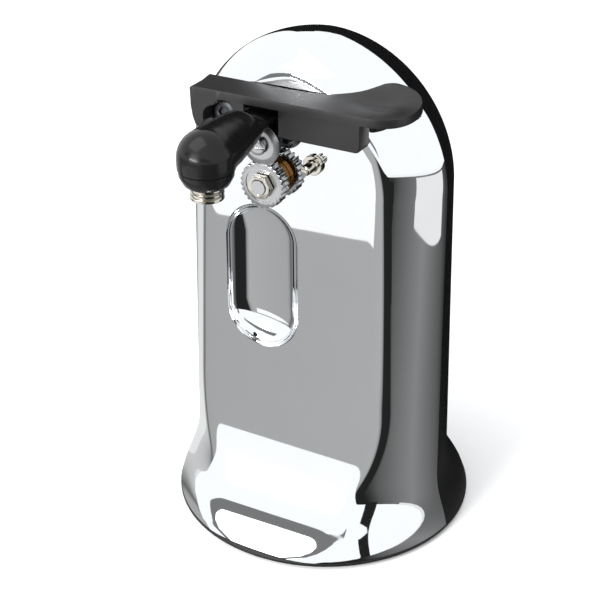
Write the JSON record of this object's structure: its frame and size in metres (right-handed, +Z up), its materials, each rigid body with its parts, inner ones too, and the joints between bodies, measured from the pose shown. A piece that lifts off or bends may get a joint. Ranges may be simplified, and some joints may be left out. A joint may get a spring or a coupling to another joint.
{
  "type": "electric can opener",
  "caption": "Upright electric can opener with a polished flat-fronted housing, thumb lever, magnet arm, cutting wheel, and a motor with its gear train inside.",
  "frame": {"origin": "bottom centre of the bounding box, at the level the rubber feet stand on", "axes": "+Z up, +X to the user's right, +Y from the front panel to the back"},
  "size_m": [0.148, 0.1742, 0.2442],
  "materials": {
    "polished_shell": "mirror polished plating",
    "black_gloss": "glossy moulding",
    "black_satin": "satin moulding",
    "steel": "turned or stamped, bare",
    "dark_steel": "oiled or blackened",
    "rubber": "matt",
    "white_nylon": "moulded, greased",
    "bronze": "sintered, oiled",
    "winding": "enamelled copper wire",
    "grinding_stone": "bonded ceramic grit",
    "grey_plastic": "satin moulding"
  },
  "bodies": {
    "housing": {"front_cover": "polished_shell", "rear_housing": "black_gloss", "base_plate": "black_satin", "foot_rear_right": "rubber", "foot_rear_left": "rubber", "foot_front_left": "rubber", "foot_front_right": "rubber", "housing_screw_top": "dark_steel", "housing_screw_left": "dark_steel", "housing_screw_right": "dark_steel", "can_guide_post": "steel", "lever_pivot": "steel", "lever_pivot_nut": "steel", "sharpener_guide": "grey_plastic", "bottle_opener": "steel", "inlet_bush": "rubber", "terminal_block": "white_nylon", "gear_plate_front": "dark_steel", "gear_plate_rear": "dark_steel", "gearbox_pillar_1": "steel", "gearbox_pillar_2": "steel", "gearbox_pillar_3": "steel", "gearbox_pillar_4": "steel", "gearbox_screw_1": "dark_steel", "gearbox_screw_2": "dark_steel", "gearbox_screw_3": "dark_steel", "gearbox_screw_4": "dark_steel", "gear_axle_1": "steel", "gear_axle_2": "steel", "spindle_bush": "bronze", "motor_stack": "dark_steel", "motor_coil": "winding", "motor_bracket_front": "steel", "motor_bracket_rear": "steel", "motor_bush_front": "bronze", "motor_bush_rear": "bronze", "motor_screw_left": "dark_steel", "motor_screw_right": "dark_steel", "switch_body": "black_satin", "plunger_spring": "steel"},
    "motor_rotor": {"rotor": "dark_steel", "motor_shaft": "steel", "motor_pinion": "bronze", "sharpening_wheel": "grinding_stone", "wheel_nut": "steel"},
    "first_gear": {"gear_1": "white_nylon"},
    "second_gear": {"gear_2": "white_nylon"},
    "output": {"output_gear": "white_nylon", "drive_spindle": "steel", "drive_wheel": "steel", "drive_nut": "steel"},
    "lever_unit": {"lever": "black_satin", "cutter_screw": "steel", "magnet_arm_pin": "steel"},
    "cutter": {"cutting_wheel": "steel"},
    "arm_unit": {"magnet_arm": "black_gloss", "magnet_holder": "steel", "magnet": "dark_steel"},
    "plunger": {"start_plunger": "white_nylon"}
  },
  "joints": [
    {"name": "rotor_spin", "type": "hinge", "parent": "housing", "child": "motor_rotor", "pos_m": [0.00108, 0.0321, 0.11476], "axis": [0, 1, 0], "continuous": true},
    {"name": "gear_1_spin", "type": "hinge", "parent": "housing", "child": "first_gear", "pos_m": [-0.00392, 0.0166, 0.14312], "axis": [0, 1, 0], "continuous": true},
    {"name": "gear_2_spin", "type": "hinge", "parent": "housing", "child": "second_gear", "pos_m": [0.01459, 0.0111, 0.16518], "axis": [0, 1, 0], "continuous": true},
    {"name": "drive_spin", "type": "hinge", "parent": "housing", "child": "output", "pos_m": [-0.009, -0.0026, 0.1817], "axis": [0, 1, 0], "continuous": true},
    {"name": "lever_hinge", "type": "hinge", "parent": "housing", "child": "lever_unit", "pos_m": [-0.028, -0.0269, 0.212], "axis": [0, -1, 0], "range_deg": [0, 34]},
    {"name": "cutter_spin", "type": "hinge", "parent": "lever_unit", "child": "cutter", "pos_m": [-0.009, -0.0323, 0.2012], "axis": [0, 1, 0], "continuous": true},
    {"name": "magnet_arm_tilt", "type": "hinge", "parent": "lever_unit", "child": "arm_unit", "pos_m": [-0.009, -0.0275, 0.2144], "axis": [-1, 0, 0], "range_deg": [-3, 11]},
    {"name": "plunger_slide", "type": "slide", "parent": "housing", "child": "plunger", "axis": [0, -1, 0], "range_m": [0, 0.002], "stiffness_N_per_m": 200, "springref_m": 0.004, "deforming": ["plunger_spring"]}
  ],
  "couplings": [
    {"joint": "gear_1_spin", "follows": "rotor_spin", "ratio": -0.2},
    {"joint": "gear_2_spin", "follows": "rotor_spin", "ratio": 0.04},
    {"joint": "drive_spin", "follows": "rotor_spin", "ratio": -0.008},
    {"joint": "plunger_slide", "follows": "lever_hinge", "m_per_rad": 0.00337}
  ]
}
